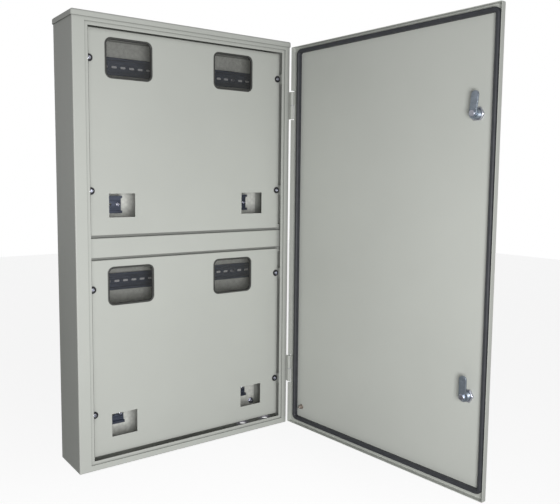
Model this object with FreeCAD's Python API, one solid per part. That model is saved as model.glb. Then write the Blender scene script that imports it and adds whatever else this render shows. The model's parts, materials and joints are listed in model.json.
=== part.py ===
"""Wall-hung sheet-steel meter box for four meters, with its door standing open.

Millimetres. +X is to the right seen from the front, +Y goes into the wall, +Z is up.
The origin is the centre of the wall-fixing pattern, on the face of the wall.
The door and all that it carries is laid out closed, then swung open about the hinge axis.
"""
import FreeCAD, Part
import math
import os

# Folded body
body_width = 500.0
body_depth = 100.0
body_height = 868.0
sheet = 1.2
body_bend = 2.0
flange_left = 23.5
flange_right = 13.0
flange_top = 17.0
flange_bottom = 12.0
rim_width = 7.0
rim_step = 2.0

# Wall fixing: pressed bosses hold the back a little off the wall
wall_hole_from_side = 70.0
wall_hole_from_end = 69.0
wall_hole_d = 9.0
boss_d = 30.0
boss_height = 2.4

# Cable entries in the floor
grommet_hole_d = 25.0
grommet_from_right = (89.0, 25.0)
grommet_from_front = 50.0
grommet_lip = 3.0
grommet_bore_d = 16.0
grommet_thickness = 5.0

# Roof cap
roof_gap = 0.8
roof_lip = 11.2
roof_bend = 4.0

# Inner panels
panel_setback = 12.0
panel_sheet = 1.2
panel_return = 8.0
panel_bend = 1.8
panel_left_gap = 4.5
panel_right_gap = 0.6
upper_panel_gap = 0.5
lower_panel_gap = 3.0
cutout_width = 54.5
cutout_height = 46.0
cutout_from_left = 36.9
cutout_from_right = 45.7
cutout_rise = 34.0

# Meter windows: outer size of the rubber frame, its lips and the pane
window_width = 99.2
window_height = 76.2
window_corner = 13.0
window_from_left = 32.1
window_from_right = 73.0
window_drop = 14.0
seal_lip = 1.8
seal_cover = 0.8
seal_web = 0.8
pane_thickness = 2.0

# Divider rail between the panels
divider_height = 38.0
divider_lip = 12.0
divider_lip_gap = 0.8
divider_gap_below = 4.5
divider_gap_above = 5.0

# Panel brackets, screws and washers
panel_screw_left_inset = 1.1
panel_screw_right_inset = 5.0
panel_screw_drop = 56.0
panel_screw_rise = 85.0
panel_screw_d = 4.0
panel_screw_hole_gap = 0.5
panel_screw_length = 12.0
panel_screw_head_d = 7.0
panel_screw_head = 1.8
panel_washer_d = 14.0
panel_washer = 0.8
bracket_height = 22.0
bracket_sheet = 1.5
bracket_seat = 15.0
bracket_foot = 9.0
bracket_chamfer = 3.0

# Mounting plate, its studs, spacers, washers and nuts
plate_inset = 28.0
plate_bottom_gap = 24.0
plate_top_gap = 30.0
plate_sheet = 1.5
plate_corner = 4.0
stud_inset = 10.0
stud_d = 6.0
stud_projection = 1.6
spacer_length = 7.3
spacer_d = 12.0
spacer_bore_gap = 0.2
washer_d = 14.0
washer_thickness = 1.6
nut_flats = 10.0
nut_height = 5.0

# Top-hat rails
rail_width = 35.0
rail_depth = 7.5
rail_hat = 27.0
rail_sheet = 1.0
rail_slot_length = 11.5
rail_slot_width = 4.4
rail_slot_pitch = 19.2
rail_end_land = 1.0
meter_rail_inset = 7.0
meter_rail_slot_shift = 4.2
meter_rail_drop = 55.0
meter_rail_screw_slot = 2
breaker_rail_length = 62.0
breaker_rail_lead = 13.5
breaker_rail_slot_shift = 5.0
breaker_rail_screw_slot = 0
rail_screw_d = 4.0
rail_screw_head_d = 8.0
rail_screw_head = 2.4
rail_screw_tail = 2.0
standoff_length = 22.5
standoff_flats = 8.0
standoff_stud_tail = 1.0

# Door pan and its swing
door_top_gap = 12.0
door_bottom_gap = 6.0
door_side_lap = 1.0
door_return = 10.0
door_front_gap = 0.8
door_bend = 1.8
door_open_deg = 94.0

# Door gasket, with its distance from the folded edge on each side
gasket_lock_inset = 3.0
gasket_hinge_inset = 14.0
gasket_bottom_inset = 9.0
gasket_top_inset = 5.5
gasket_width = 8.0
gasket_corner = 12.0
gasket_seat_gap = 0.4
gasket_round = 1.2

# Lift-off hinges
hinge_axis_out = 2.8
hinge_axis_front = 6.2
hinge_barrel_d = 8.0
hinge_length = 60.0
hinge_from_door_bottom = 124.0
hinge_from_door_top = 126.0
hinge_pin_d = 4.5
hinge_pin_length = 48.0
hinge_washer = 1.0
hinge_play = 0.2
hinge_running_gap = 0.05
hinge_leaf = 2.0
hinge_leaf_reach = 18.0
hinge_leaf_gap = 0.4
hinge_notch_gap = 2.0
hinge_wing_reach = 6.7

# Quarter-turn locks
lock_from_edge = 42.5
lock_from_door_bottom = 180.0
lock_from_door_top = 178.0
lock_barrel_d = 18.0
lock_head_d = 26.0
lock_head = 3.0
lock_hole_gap = 0.2
lock_nut_flats = 22.0
lock_nut_height = 5.0
core_d = 12.0
core_running_gap = 0.08
core_square = 8.0
key_well_d = 9.0
key_well_depth = 9.0
key_pin_d = 4.0
key_bit = 1.6
cam_rim_gap = 0.7
cam_end_gap = 0.3
cam_thickness = 3.0
cam_reach = 38.0
cam_width = 14.0
cam_screw_d = 5.0
cam_screw_length = 9.0
cam_screw_head_d = 10.0
cam_screw_head = 3.0
upper_lock_lean_deg = 6.0

# Earth stud on the door
earth_from_hinge = 37.0
earth_rise = 42.0
earth_stud_d = 5.0
earth_stud_length = 9.0
earth_washer_d = 11.0
earth_washer = 1.0
earth_nut_flats = 8.0
earth_nut_height = 4.0

# Planes and edges that the sub-parts share
left = -body_width / 2
right = body_width / 2
bottom = -body_height / 2
top = body_height / 2
back = -boss_height
front = back - body_depth
inner_back = back - sheet
rim_left = left + flange_left + rim_width
rim_right = right - flange_right - rim_width
rim_bottom = bottom + flange_bottom + rim_width
rim_top = top - flange_top - rim_width
rim_back = front + rim_step + sheet
panel_front = front + panel_setback
panel_back = panel_front + panel_sheet
panel_left = rim_left + panel_left_gap
panel_right = rim_right - panel_right_gap
divider_return = panel_return + divider_lip_gap + sheet
divider_room = divider_gap_below + divider_height + divider_gap_above
panel_room = rim_top - rim_bottom - upper_panel_gap - lower_panel_gap
panel_height = (panel_room - divider_room) / 2
upper_panel_bottom = rim_top - upper_panel_gap - panel_height
lower_panel_bottom = rim_bottom + lower_panel_gap
panel_bottoms = (upper_panel_bottom, lower_panel_bottom)
plate_back = inner_back - spacer_length
plate_front = plate_back - plate_sheet
plate_bottom = bottom + plate_bottom_gap
plate_top = top - plate_top_gap
meter_rail_length = body_width - 2 * plate_inset - 2 * meter_rail_inset
door_outer = front - door_front_gap - door_return - sheet
door_inner = door_outer + sheet
door_tip = front - door_front_gap
door_right = right + door_side_lap
door_left = left - door_side_lap
door_bottom = bottom + door_bottom_gap
door_top = top - door_top_gap
hinge_x = right + hinge_axis_out
hinge_y = front - hinge_axis_front
hinge_heights = (door_bottom + hinge_from_door_bottom, door_top - hinge_from_door_top)
lock_x = door_left + lock_from_edge
lock_heights = (door_bottom + lock_from_door_bottom, door_top - lock_from_door_top)
cam_front = rim_back + cam_rim_gap
cam_back = cam_front + cam_thickness

Y_AXIS = FreeCAD.Vector(0, 1, 0)
Z_AXIS = FreeCAD.Vector(0, 0, 1)


def box(x0, x1, y0, y1, z0, z1):
    """A block between two opposite corners."""
    return Part.makeBox(x1 - x0, y1 - y0, z1 - z0, FreeCAD.Vector(x0, y0, z0))


def rod_y(x, z, y0, y1, diameter):
    """A round bar along Y."""
    return Part.makeCylinder(diameter / 2, y1 - y0, FreeCAD.Vector(x, y0, z), Y_AXIS)


def rod_z(x, y, z0, z1, diameter):
    """A round bar along Z."""
    return Part.makeCylinder(diameter / 2, z1 - z0, FreeCAD.Vector(x, y, z0), Z_AXIS)


def hexagon_y(x, z, y0, y1, flats, bore):
    """A six-sided bar along Y with two corners level with its axis, and a bore."""
    corner = flats / math.sqrt(3)
    points = []
    for step in range(7):
        turn = math.radians(60 * step)
        points.append(FreeCAD.Vector(x + corner * math.cos(turn), y0, z + corner * math.sin(turn)))
    bar = Part.Face(Part.makePolygon(points)).extrude(FreeCAD.Vector(0, y1 - y0, 0))
    if bore > 0:
        bar = bar.cut(rod_y(x, z, y0, y1, bore))
    return bar


def edges_on_plane(shape, y):
    """The edges that lie in the plane at depth y."""
    return [edge for edge in shape.Edges
            if abs(edge.BoundBox.YMin - y) < 0.01 and abs(edge.BoundBox.YMax - y) < 0.01]


def edges_along(shape, axis):
    """The straight edges that run along an axis."""
    return [edge for edge in shape.Edges if abs(edge.tangentAt(edge.FirstParameter).dot(axis)) > 0.9]


def rounded_block(x0, x1, z0, z1, y0, y1, radius):
    """A block with its four edges along Y rounded."""
    block = box(x0, x1, y0, y1, z0, z1)
    return block.makeFillet(radius, edges_along(block, Y_AXIS))


def ring(x0, x1, z0, z1, y0, y1, width, corner):
    """A frame of one width with round corners, its outer edge given."""
    outer = rounded_block(x0, x1, z0, z1, y0, y1, corner)
    inner = rounded_block(x0 + width, x1 - width, z0 + width, z1 - width, y0, y1, corner - width)
    return outer.cut(inner)


def wall_holes():
    """Centres of the wall-fixing holes, as (x, z)."""
    half_w = right - wall_hole_from_side
    half_h = top - wall_hole_from_end
    return [(x, z) for z in (-half_h, half_h) for x in (-half_w, half_w)]


def grommet_places():
    """Centres of the floor's cable holes, as (x, y)."""
    return [(right - offset, front + grommet_from_front) for offset in grommet_from_right]


def panel_screw_places():
    """Centres of the panel screws, as (x, z)."""
    places = []
    for base in panel_bottoms:
        for z in (base + panel_screw_rise, base + panel_height - panel_screw_drop):
            places.append((panel_left + panel_screw_left_inset, z))
            places.append((panel_right - panel_screw_right_inset, z))
    return places


def plate_stud_places():
    """Centres of the plate's studs, as (x, z): two columns of three."""
    low = plate_bottom + stud_inset
    high = plate_top - stud_inset
    reach = right - plate_inset - stud_inset
    return [(x, z) for z in (low, (low + high) / 2, high) for x in (-reach, reach)]


def window_corners(base):
    """Lower left corner of each window in the panel that starts at height base."""
    z = base + panel_height - window_drop - window_height
    return [(panel_left + window_from_left, z), (panel_right - window_from_right - window_width, z)]


def cutout_corners(base):
    """Lower left corner of each breaker cut-out in the panel that starts at height base."""
    z = base + cutout_rise
    return [(panel_left + cutout_from_left, z), (panel_right - cutout_from_right - cutout_width, z)]


def body_shell():
    """Back, sides, floor and ceiling folded from one sheet, with a stepped front flange."""
    outer = box(left, right, front, back, bottom, top)
    outer = outer.makeFillet(body_bend, outer.Edges)
    inside = box(left + sheet, right - sheet, front + sheet, inner_back, bottom + sheet, top - sheet)
    shell = outer.cut(inside.makeFillet(body_bend - sheet, inside.Edges))
    step_left = left + flange_left
    step_right = right - flange_right
    step_bottom = bottom + flange_bottom
    step_top = top - flange_top
    step = box(step_left - sheet, step_right + sheet, front + sheet / 2, rim_back,
               step_bottom - sheet, step_top + sheet)
    opening = box(step_left, step_right, front - sheet, rim_back - sheet, step_bottom, step_top)
    throat = box(rim_left, rim_right, front - sheet, rim_back + sheet, rim_bottom, rim_top)
    shell = shell.fuse(step).cut(opening).cut(throat)
    for x, z in wall_holes():
        shell = shell.fuse(rod_y(x, z, inner_back, 0, boss_d))
        shell = shell.cut(rod_y(x, z, inner_back - sheet, sheet, wall_hole_d))
        dimple = boss_d - 2 * sheet
        recess = rod_y(x, z, inner_back, -sheet, dimple).cut(rod_y(x, z, inner_back, -sheet, wall_hole_d))
        shell = shell.cut(recess)
    for x, y in grommet_places():
        shell = shell.cut(rod_z(x, y, bottom - sheet, bottom + 2 * sheet, grommet_hole_d))
    return shell.removeSplitter()


def roof_cap():
    """Cap folded down over the body on all four sides."""
    out = roof_gap + sheet
    low = top + sheet - roof_lip
    cap = box(left - out, right + out, front - out, back + out, low, top + sheet)
    upper = [edge for edge in cap.Edges if edge.CenterOfMass.z > top]
    cap = cap.makeFillet(roof_bend, upper + edges_along(cap, Z_AXIS))
    hollow = box(left - roof_gap, right + roof_gap, front - roof_gap, back + roof_gap, low - sheet, top)
    edges = [edge for edge in hollow.Edges if edge.CenterOfMass.z > top - sheet]
    edges += edges_along(hollow, Z_AXIS)
    return cap.cut(hollow.makeFillet(roof_bend - sheet, edges))


def cable_grommets():
    """Rubber rings in the floor holes, with a groove that grips the sheet."""
    rings = []
    for x, y in grommet_places():
        low = bottom + sheet / 2 - grommet_thickness / 2
        high = low + grommet_thickness
        outer_d = grommet_hole_d + 2 * grommet_lip
        ring_solid = rod_z(x, y, low, high, outer_d)
        groove = rod_z(x, y, bottom, bottom + sheet, outer_d + 2 * sheet)
        groove = groove.cut(rod_z(x, y, bottom, bottom + sheet, grommet_hole_d))
        ring_solid = ring_solid.cut(groove).cut(rod_z(x, y, low, high, grommet_bore_d))
        rings.append(ring_solid)
    return Part.makeCompound(rings)


def divider_rail():
    """Channel across the body, open to the back, with lips that reach behind the two panels."""
    low = lower_panel_bottom + panel_height + divider_gap_below
    high = low + divider_height
    channel = box(left + sheet, right - sheet, panel_front, panel_front + divider_return, low, high)
    bends = [edge for edge in edges_on_plane(channel, panel_front) if edge.BoundBox.XLength > 1]
    channel = channel.makeFillet(panel_bend, bends)
    lips = box(left + sheet, right - sheet, panel_front + divider_return - sheet,
               panel_front + divider_return, low - divider_lip, high + divider_lip)
    hollow = box(left, right, panel_front + sheet, panel_front + divider_return + sheet,
                 low + sheet, high - sheet)
    return channel.fuse(lips).cut(hollow).removeSplitter()


def inner_panel(base):
    """Cover panel with its upper and lower edges folded back and its left screw holes open to the side."""
    high = base + panel_height
    panel = box(panel_left, panel_right, panel_front, panel_front + panel_return, base, high)
    bends = [edge for edge in edges_on_plane(panel, panel_front) if edge.BoundBox.XLength > 1]
    panel = panel.makeFillet(panel_bend, bends)
    panel = panel.cut(box(panel_left - 1, panel_right + 1, panel_back, panel_front + panel_return + 1,
                          base + panel_sheet, high - panel_sheet))
    for x, z in window_corners(base):
        panel = panel.cut(rounded_block(
            x + seal_lip, x + window_width - seal_lip, z + seal_lip, z + window_height - seal_lip,
            panel_front - 1, panel_back + 1, window_corner - seal_lip))
    for x, z in cutout_corners(base):
        panel = panel.cut(box(x, x + cutout_width, panel_front - 1, panel_back + 1, z, z + cutout_height))
    hole_d = panel_screw_d + panel_screw_hole_gap
    for x, z in panel_screw_places():
        panel = panel.cut(rod_y(x, z, panel_front - 1, panel_back + 1, hole_d))
        if x < panel_left + hole_d:
            panel = panel.cut(box(panel_left - 1, x, panel_front - 1, panel_back + 1,
                                  z - hole_d / 2, z + hole_d / 2))
    return panel


def window_seal(x, z):
    """Rubber frame: one groove grips the panel's cut-out, the other holds the pane."""
    x1 = x + window_width
    z1 = z + window_height
    pane_front = panel_back + seal_web
    seal_back = pane_front + pane_thickness + seal_cover
    seal = ring(x, x1, z, z1, panel_front - seal_cover, seal_back, 2 * seal_lip, window_corner)
    panel_groove = ring(x - 1, x1 + 1, z - 1, z1 + 1, panel_front, panel_back, seal_lip + 1,
                        window_corner + 1)
    hold = seal_lip + seal_web
    pane_slot = rounded_block(x + hold, x1 - hold, z + hold, z1 - hold, pane_front,
                              pane_front + pane_thickness, window_corner - hold)
    return seal.cut(panel_groove).cut(pane_slot)


def window_pane(x, z):
    """Clear pane in the rubber frame's inner groove."""
    hold = seal_lip + seal_web
    pane_front = panel_back + seal_web
    return rounded_block(x + hold, x + window_width - hold, z + hold, z + window_height - hold,
                         pane_front, pane_front + pane_thickness, window_corner - hold)


def panel_brackets():
    """Folded tabs on the back of the rim: a foot, a web and a seat for the panel."""
    tabs = []
    for x, z in panel_screw_places():
        side = 1 if x > 0 else -1
        edge = (rim_right if x > 0 else rim_left) + side * 2 * bracket_sheet
        seat_end = edge - side * (bracket_seat + bracket_sheet)
        foot_end = edge + side * bracket_foot
        low = z - bracket_height / 2
        high = z + bracket_height / 2
        seat_back = panel_back + bracket_sheet
        foot = box(min(edge, foot_end), max(edge, foot_end), rim_back, rim_back + bracket_sheet, low, high)
        web_far = edge - side * bracket_sheet
        web = box(min(edge, web_far), max(edge, web_far), rim_back, seat_back, low, high)
        seat = box(min(edge, seat_end), max(edge, seat_end), panel_back, seat_back, low, high)
        corners = [e for e in edges_along(seat, Y_AXIS) if abs(e.CenterOfMass.x - seat_end) < 0.1]
        tab = foot.fuse([web, seat.makeChamfer(bracket_chamfer, corners)])
        tab = tab.cut(rod_y(x, z, panel_back - 1, seat_back + 1, panel_screw_d))
        tabs.append(tab.removeSplitter())
    return Part.makeCompound(tabs)


def pan_head_screw(x, z, seat, length, diameter, head_d, head_height):
    """Screw along +Y with a domed, cross-slotted head in front of the seat plane."""
    shank = rod_y(x, z, seat, seat + length, diameter)
    head = rod_y(x, z, seat - head_height, seat, head_d)
    head = head.makeFillet(head_height * 0.6, edges_on_plane(head, seat - head_height))
    slot = diameter / 4
    reach = head_d * 0.3
    for half_x, half_z in ((reach, slot / 2), (slot / 2, reach)):
        head = head.cut(box(x - half_x, x + half_x, seat - head_height - 1, seat - head_height * 0.45,
                            z - half_z, z + half_z))
    return head.fuse(shank).removeSplitter()


def panel_screws():
    """Screws that hold the panels to their brackets."""
    screws = []
    for x, z in panel_screw_places():
        screws.append(pan_head_screw(x, z, panel_front - panel_washer, panel_screw_length, panel_screw_d,
                                     panel_screw_head_d, panel_screw_head))
    return Part.makeCompound(screws)


def panel_washers():
    """Dark captive washers under the heads of the panel screws."""
    discs = []
    for x, z in panel_screw_places():
        disc = rod_y(x, z, panel_front - panel_washer, panel_front, panel_washer_d)
        discs.append(disc.cut(rod_y(x, z, panel_front - panel_washer, panel_front, panel_screw_d)))
    return Part.makeCompound(discs)


def rail_rows():
    """Heights of the two meter rails."""
    return [base + panel_height - meter_rail_drop for base in panel_bottoms]


def breaker_rail_places():
    """Centres of the short rails behind the breaker cut-outs, as (x, z)."""
    places = []
    for base in panel_bottoms:
        for x, z in cutout_corners(base):
            centre_x = x - breaker_rail_lead + breaker_rail_length / 2
            places.append((centre_x, z + cutout_height / 2))
    return places


def mounting_plate():
    """Plate that carries all the rails, with holes for its studs and the rail fixings."""
    plate = rounded_block(left + plate_inset, right - plate_inset, plate_bottom, plate_top,
                          plate_front, plate_back, plate_corner)
    holes = [(x, z, stud_d + spacer_bore_gap) for x, z in plate_stud_places()]
    for x, z, _seat in meter_screw_places():
        holes.append((x, z, rail_screw_d))
    for x, z in standoff_places():
        holes.append((x, z, rail_screw_d))
    for x, z, diameter in holes:
        plate = plate.cut(rod_y(x, z, plate_front - 1, plate_back + 1, diameter))
    return plate


def plate_studs():
    """Weld studs on the inside of the back."""
    studs = []
    end = plate_front - washer_thickness - nut_height - stud_projection
    for x, z in plate_stud_places():
        studs.append(rod_y(x, z, end, inner_back, stud_d))
    return Part.makeCompound(studs)


def plate_spacers():
    """Tubes on the studs that hold the plate off the back."""
    tubes = []
    for x, z in plate_stud_places():
        tube = rod_y(x, z, plate_back, inner_back, spacer_d)
        tubes.append(tube.cut(rod_y(x, z, plate_back, inner_back, stud_d + spacer_bore_gap)))
    return Part.makeCompound(tubes)


def plate_washers():
    """Flat washers between the plate and its nuts."""
    discs = []
    for x, z in plate_stud_places():
        disc = rod_y(x, z, plate_front - washer_thickness, plate_front, washer_d)
        disc = disc.cut(rod_y(x, z, plate_front - washer_thickness, plate_front, stud_d + spacer_bore_gap))
        discs.append(disc)
    return Part.makeCompound(discs)


def plate_nuts():
    """Hexagon nuts on the plate's studs."""
    face = plate_front - washer_thickness
    nuts = [hexagon_y(x, z, face - nut_height, face, nut_flats, stud_d) for x, z in plate_stud_places()]
    return Part.makeCompound(nuts)


def slot_offsets(length, shift):
    """Offsets of a rail's slots from its middle; the shift moves the whole row of slots."""
    room = length / 2 - abs(shift) - rail_slot_length / 2 - rail_end_land
    count = int(room / rail_slot_pitch)
    return [shift + index * rail_slot_pitch for index in range(-count, count + 1)]


def hat_rail(centre_x, z, seat, length, shift):
    """Top-hat rail: the slotted web lies on the seat plane, the lips stand off it to the front."""
    half_hat = rail_hat / 2
    half_rail = rail_width / 2
    face = seat - rail_depth
    outline = [
        (face, half_rail), (face, half_hat - rail_sheet), (seat - rail_sheet, half_hat - rail_sheet),
        (seat - rail_sheet, rail_sheet - half_hat), (face, rail_sheet - half_hat), (face, -half_rail),
        (face + rail_sheet, -half_rail), (face + rail_sheet, -half_hat), (seat, -half_hat),
        (seat, half_hat), (face + rail_sheet, half_hat), (face + rail_sheet, half_rail)]
    start = centre_x - length / 2
    points = [FreeCAD.Vector(start, y, z + height) for y, height in outline]
    rail = Part.Face(Part.makePolygon(points + points[:1])).extrude(FreeCAD.Vector(length, 0, 0))
    half_slot = rail_slot_length / 2
    for offset in slot_offsets(length, shift):
        x = centre_x + offset
        rail = rail.cut(rounded_block(x - half_slot, x + half_slot, z - rail_slot_width / 2,
                                      z + rail_slot_width / 2, seat - 2 * rail_sheet, seat + 1,
                                      rail_slot_width / 2 - 0.05))
    return rail


def meter_screw_places():
    """Meter rail screws, as (x, z, seat plane), two in each rail, in slots counted from its ends."""
    offsets = slot_offsets(meter_rail_length, meter_rail_slot_shift)
    ends = (offsets[meter_rail_screw_slot], offsets[-1 - meter_rail_screw_slot])
    return [(x, z, plate_front - rail_sheet) for z in rail_rows() for x in ends]


def standoff_places():
    """Pillars under the breaker rails, as (x, z), two under each rail, at slots counted from its ends."""
    offsets = slot_offsets(breaker_rail_length, breaker_rail_slot_shift)
    ends = (offsets[breaker_rail_screw_slot], offsets[-1 - breaker_rail_screw_slot])
    return [(x + offset, z) for x, z in breaker_rail_places() for offset in ends]


def meter_rail_screws():
    """Screws that hold the meter rails to the plate."""
    screws = []
    for x, z, seat in meter_screw_places():
        length = rail_sheet + plate_sheet + rail_screw_tail
        screws.append(pan_head_screw(x, z, seat, length, rail_screw_d, rail_screw_head_d, rail_screw_head))
    return Part.makeCompound(screws)


def breaker_rail_standoffs():
    """Hexagon pillars between the plate and the breaker rails, each with a stud in the plate."""
    pillars = []
    depth = standoff_length * 0.6
    for x, z in standoff_places():
        pillar = hexagon_y(x, z, plate_front - standoff_length, plate_front, standoff_flats, 0)
        tapped = rod_y(x, z, plate_front - standoff_length, plate_front - standoff_length + depth,
                       rail_screw_d)
        stud = rod_y(x, z, plate_front, plate_back + standoff_stud_tail, rail_screw_d)
        pillars.append(pillar.cut(tapped).fuse(stud).removeSplitter())
    return Part.makeCompound(pillars)


def breaker_rail_screws():
    """Screws that hold the breaker rails to their pillars."""
    seat = plate_front - standoff_length - rail_sheet
    screws = []
    for x, z in standoff_places():
        screws.append(pan_head_screw(x, z, seat, standoff_length * 0.4, rail_screw_d,
                                     rail_screw_head_d, rail_screw_head))
    return Part.makeCompound(screws)


def hinge_fixed_half(z):
    """Lower hinge half: half a barrel on a full-height leaf, which lies on the outside of the body."""
    low = z - hinge_length / 2
    high = z - hinge_washer / 2
    barrel = rod_z(hinge_x, hinge_y, low, high, hinge_barrel_d)
    clear_of_barrel = hinge_y + hinge_barrel_d / 2 + hinge_leaf_gap
    leaf = box(right, right + hinge_leaf, hinge_y, front + hinge_leaf_reach, low, high)
    leaf = leaf.fuse(box(right, right + hinge_leaf, clear_of_barrel, front + hinge_leaf_reach,
                         high, z + hinge_length / 2))
    bore = rod_z(hinge_x, hinge_y, z - hinge_pin_length / 2, high, hinge_pin_d)
    return barrel.fuse(leaf).cut(bore).removeSplitter()


def hinge_washer_ring(z):
    """Washer that the door's hinge half turns on."""
    low = z - hinge_washer / 2
    disc = rod_z(hinge_x, hinge_y, low, low + hinge_washer, hinge_barrel_d)
    return disc.cut(rod_z(hinge_x, hinge_y, low, low + hinge_washer, hinge_pin_d))


def hinge_pin(z):
    """Pin pressed into the lower half; the upper half turns on it."""
    return rod_z(hinge_x, hinge_y, z - hinge_pin_length / 2, z + hinge_pin_length / 2, hinge_pin_d)


def hinge_door_half(z):
    """Upper hinge half: half a barrel with a wing on the inside of the door."""
    low = z + hinge_washer / 2 + hinge_play
    high = z + hinge_length / 2
    barrel = rod_z(hinge_x, hinge_y, low, high, hinge_barrel_d)
    wing = box(hinge_x - hinge_wing_reach, hinge_x, door_inner, door_inner + hinge_leaf, low, high)
    bore = rod_z(hinge_x, hinge_y, low, z + hinge_pin_length / 2 + hinge_play,
                 hinge_pin_d + 2 * hinge_running_gap)
    return barrel.fuse(wing).cut(bore).removeSplitter()


def door_pan():
    """Door folded from one sheet, with notches for the hinges and holes for the locks."""
    pan = box(door_left, door_right, door_outer, door_tip, door_bottom, door_top)
    pan = pan.makeFillet(door_bend, edges_on_plane(pan, door_outer) + edges_along(pan, Y_AXIS))
    hollow = box(door_left + sheet, door_right - sheet, door_inner, door_tip + 1,
                 door_bottom + sheet, door_top - sheet)
    rounds = edges_on_plane(hollow, door_inner) + edges_along(hollow, Y_AXIS)
    pan = pan.cut(hollow.makeFillet(door_bend - sheet, rounds))
    reach = hinge_length / 2 + hinge_notch_gap
    for z in hinge_heights:
        pan = pan.cut(box(door_right - 2 * sheet, door_right + 1, door_inner, door_tip + 1,
                          z - reach, z + reach))
    for z in lock_heights:
        pan = pan.cut(rod_y(lock_x, z, door_outer - 1, door_inner + 1, lock_barrel_d + lock_hole_gap))
    return pan


def door_gasket():
    """Foam frame that the closed door presses against the body's flange."""
    x0 = door_left + sheet + gasket_lock_inset
    x1 = door_right - sheet - gasket_hinge_inset
    z0 = door_bottom + sheet + gasket_bottom_inset
    z1 = door_top - sheet - gasket_top_inset
    frame = ring(x0, x1, z0, z1, door_inner, front - gasket_seat_gap, gasket_width, gasket_corner)
    return frame.makeFillet(gasket_round, edges_on_plane(frame, front - gasket_seat_gap))


def lock_housing(z):
    """Threaded lock barrel with a round head on the outside of the door."""
    barrel = rod_y(lock_x, z, door_outer, cam_front - cam_end_gap, lock_barrel_d)
    head = rod_y(lock_x, z, door_outer - lock_head, door_outer, lock_head_d)
    head = head.makeFillet(lock_head * 0.6, edges_on_plane(head, door_outer - lock_head))
    bore = rod_y(lock_x, z, door_outer - lock_head - 1, cam_front, core_d)
    return barrel.fuse(head).cut(bore).removeSplitter()


def lock_nut(z):
    """Hexagon nut that clamps the housing to the door from inside."""
    return hexagon_y(lock_x, z, door_inner, door_inner + lock_nut_height, lock_nut_flats, lock_barrel_d)


def lock_core(z):
    """Turning core: a key well in front, a square for the cam behind."""
    face = door_outer - lock_head / 2
    core = rod_y(lock_x, z, face, cam_front, core_d - 2 * core_running_gap)
    half = core_square / 2
    square = box(lock_x - half, lock_x + half, cam_front, cam_back, z - half, z + half)
    well = rod_y(lock_x, z, face - 1, face + key_well_depth, key_well_d)
    pin = rod_y(lock_x, z, face - 1, face + key_well_depth, key_pin_d)
    bits = box(lock_x - key_bit / 2, lock_x + key_bit / 2, face - 1, face + key_well_depth,
               z - key_well_d / 2, z + key_well_d / 2)
    core = core.fuse(square).cut(well.cut(pin.fuse(bits)))
    return core.cut(rod_y(lock_x, z, cam_back - cam_screw_length, cam_back, cam_screw_d)).removeSplitter()


def lock_cam(z):
    """Flat tongue with round ends, pointing up when unlocked."""
    half = cam_width / 2
    tongue = box(lock_x - half, lock_x + half, cam_front, cam_back, z, z + cam_reach - half)
    tongue = tongue.fuse(rod_y(lock_x, z, cam_front, cam_back, cam_width))
    tongue = tongue.fuse(rod_y(lock_x, z + cam_reach - half, cam_front, cam_back, cam_width))
    grip = core_square / 2
    tongue = tongue.cut(box(lock_x - grip, lock_x + grip, cam_front, cam_back, z - grip, z + grip))
    return tongue.removeSplitter()


def cam_screw(z):
    """Hexagon-headed screw that holds the cam on the core."""
    head = hexagon_y(lock_x, z, cam_back, cam_back + cam_screw_head, cam_screw_head_d, 0)
    shank = rod_y(lock_x, z, cam_back - cam_screw_length, cam_back, cam_screw_d)
    return head.fuse(shank).removeSplitter()


def earth_place():
    """Centre of the door's earth stud, as (x, z)."""
    return door_right - earth_from_hinge, door_bottom + earth_rise


def earth_stud():
    """Weld stud on the inside of the door."""
    x, z = earth_place()
    return rod_y(x, z, door_inner, door_inner + earth_stud_length, earth_stud_d)


def earth_washer_disc():
    """Contact washer on the earth stud."""
    x, z = earth_place()
    disc = rod_y(x, z, door_inner, door_inner + earth_washer, earth_washer_d)
    return disc.cut(rod_y(x, z, door_inner, door_inner + earth_washer, earth_stud_d))


def earth_nut():
    """Hexagon nut on the earth stud."""
    x, z = earth_place()
    face = door_inner + earth_washer
    return hexagon_y(x, z, face, face + earth_nut_height, earth_nut_flats, earth_stud_d)


def fixed_parts():
    """Every sub-part that stays with the body, by name."""
    parts = {
        "body_shell": body_shell(),
        "roof_cap": roof_cap(),
        "cable_grommets": cable_grommets(),
        "divider_rail": divider_rail(),
        "upper_panel": inner_panel(upper_panel_bottom),
        "lower_panel": inner_panel(lower_panel_bottom),
        "panel_brackets": panel_brackets(),
        "panel_screws": panel_screws(),
        "panel_washers": panel_washers(),
        "mounting_plate": mounting_plate(),
        "plate_studs": plate_studs(),
        "plate_spacers": plate_spacers(),
        "plate_washers": plate_washers(),
        "plate_nuts": plate_nuts(),
        "meter_rail_screws": meter_rail_screws(),
        "breaker_rail_standoffs": breaker_rail_standoffs(),
        "breaker_rail_screws": breaker_rail_screws(),
    }
    corners = [corner for base in panel_bottoms for corner in window_corners(base)]
    names = ("upper_left", "upper_right", "lower_left", "lower_right")
    for name, (x, z) in zip(names, corners):
        parts["window_seal_" + name] = window_seal(x, z)
        parts["window_pane_" + name] = window_pane(x, z)
    for name, z in zip(("upper", "lower"), rail_rows()):
        parts["meter_rail_" + name] = hat_rail(0, z, plate_front, meter_rail_length,
                                                meter_rail_slot_shift)
    for name, (x, z) in zip(names, breaker_rail_places()):
        parts["breaker_rail_" + name] = hat_rail(x, z, plate_front - standoff_length, breaker_rail_length,
                                                 breaker_rail_slot_shift)
    for name, z in zip(("lower", "upper"), hinge_heights):
        parts["hinge_fixed_half_" + name] = hinge_fixed_half(z)
        parts["hinge_washer_" + name] = hinge_washer_ring(z)
        parts["hinge_pin_" + name] = hinge_pin(z)
    return parts


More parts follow.
